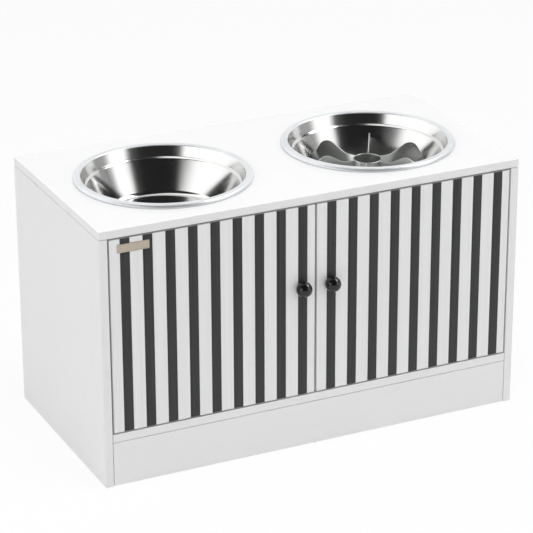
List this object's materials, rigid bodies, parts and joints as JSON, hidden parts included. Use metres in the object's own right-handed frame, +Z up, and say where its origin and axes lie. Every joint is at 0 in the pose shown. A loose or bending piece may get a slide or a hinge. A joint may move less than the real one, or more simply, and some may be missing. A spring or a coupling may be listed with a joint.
{
  "type": "elevated dog feeding station",
  "caption": "Low white cabinet with striped inset doors and lift-out steel bowls set in its top for water and food, with a finned slow-feeding insert in the food bowl.",
  "frame": {"origin": "on the floor under the middle of the overall box, knobs included", "axes": "+X to the right as seen from the front, +Y to the back, +Z up"},
  "size_m": [0.6, 0.3186, 0.3592],
  "materials": {
    "white_board": "white melamine coating, satin",
    "dark_stripe": "charcoal laminate, satin",
    "black_knob": "glossy black",
    "bowl_steel": "polished stainless steel",
    "satin_steel": "satin stainless steel",
    "back_board": "thin white-faced hardboard",
    "glide_plastic": "dark nailed glide",
    "beech": "plain beech",
    "zinc_steel": "zinc plated",
    "zinc_casting": "zinc die-casting",
    "plate_metal": "champagne satin",
    "hinge_steel": "nickel plated",
    "catch_plastic": "pale moulded plastic",
    "magnet": "dark ferrite"
  },
  "bodies": {
    "cabinet": {"back_panel": "back_board", "bottom_shelf": "white_board", "cam_bolts": "zinc_steel", "cam_locks": "zinc_casting", "catch_screws": "zinc_steel", "centre_glide": "glide_plastic", "hinge_arm_screws": "zinc_steel", "hinge_plate_screws": "zinc_steel", "left_catch_housing": "catch_plastic", "left_catch_magnet": "magnet", "left_lower_hinge_arm": "hinge_steel", "left_lower_hinge_plate": "hinge_steel", "left_side_panel": "white_board", "left_upper_hinge_arm": "hinge_steel", "left_upper_hinge_plate": "hinge_steel", "plinth": "white_board", "right_catch_housing": "catch_plastic", "right_catch_magnet": "magnet", "right_lower_hinge_arm": "hinge_steel", "right_lower_hinge_plate": "hinge_steel", "right_side_panel": "white_board", "right_upper_hinge_arm": "hinge_steel", "right_upper_hinge_plate": "hinge_steel", "top_panel": "white_board", "wood_dowels": "beech"},
    "left_door": {"left_door": "white_board", "left_door_stripes": "dark_stripe", "left_knob": "black_knob", "left_knob_screw": "zinc_steel", "left_strike_plate": "zinc_steel", "left_strike_screw": "zinc_steel", "left_hinge_cup_screws": "zinc_steel", "left_lower_hinge_cup": "hinge_steel", "left_lower_hinge_pin": "hinge_steel", "left_upper_hinge_cup": "hinge_steel", "left_upper_hinge_pin": "hinge_steel", "name_plate": "plate_metal"},
    "right_door": {"right_door": "white_board", "right_door_stripes": "dark_stripe", "right_knob": "black_knob", "right_knob_screw": "zinc_steel", "right_strike_plate": "zinc_steel", "right_strike_screw": "zinc_steel", "right_hinge_cup_screws": "zinc_steel", "right_lower_hinge_cup": "hinge_steel", "right_lower_hinge_pin": "hinge_steel", "right_upper_hinge_cup": "hinge_steel", "right_upper_hinge_pin": "hinge_steel"},
    "water_bowl": {"water_bowl": "bowl_steel"},
    "food_bowl": {"food_bowl": "bowl_steel", "slow_feeder_ring": "satin_steel", "slow_feeder_fin_1": "satin_steel", "slow_feeder_fin_2": "satin_steel", "slow_feeder_fin_3": "satin_steel", "slow_feeder_fin_4": "satin_steel", "slow_feeder_fin_5": "satin_steel", "slow_feeder_fin_6": "satin_steel"}
  },
  "joints": [
    {"name": "left_door_swing", "type": "hinge", "parent": "cabinet", "child": "left_door", "pos_m": [-0.2734, -0.13445, 0.208], "axis": [0, 0, -1], "range_deg": [0, 95]},
    {"name": "right_door_swing", "type": "hinge", "parent": "cabinet", "child": "right_door", "pos_m": [0.2734, -0.13445, 0.208], "axis": [0, 0, 1], "range_deg": [0, 95]},
    {"name": "water_bowl_lift", "type": "slide", "parent": "cabinet", "child": "water_bowl", "axis": [0, 0, 1], "range_m": [0, 0.08]},
    {"name": "food_bowl_lift", "type": "slide", "parent": "cabinet", "child": "food_bowl", "axis": [0, 0, 1], "range_m": [0, 0.08]}
  ]
}
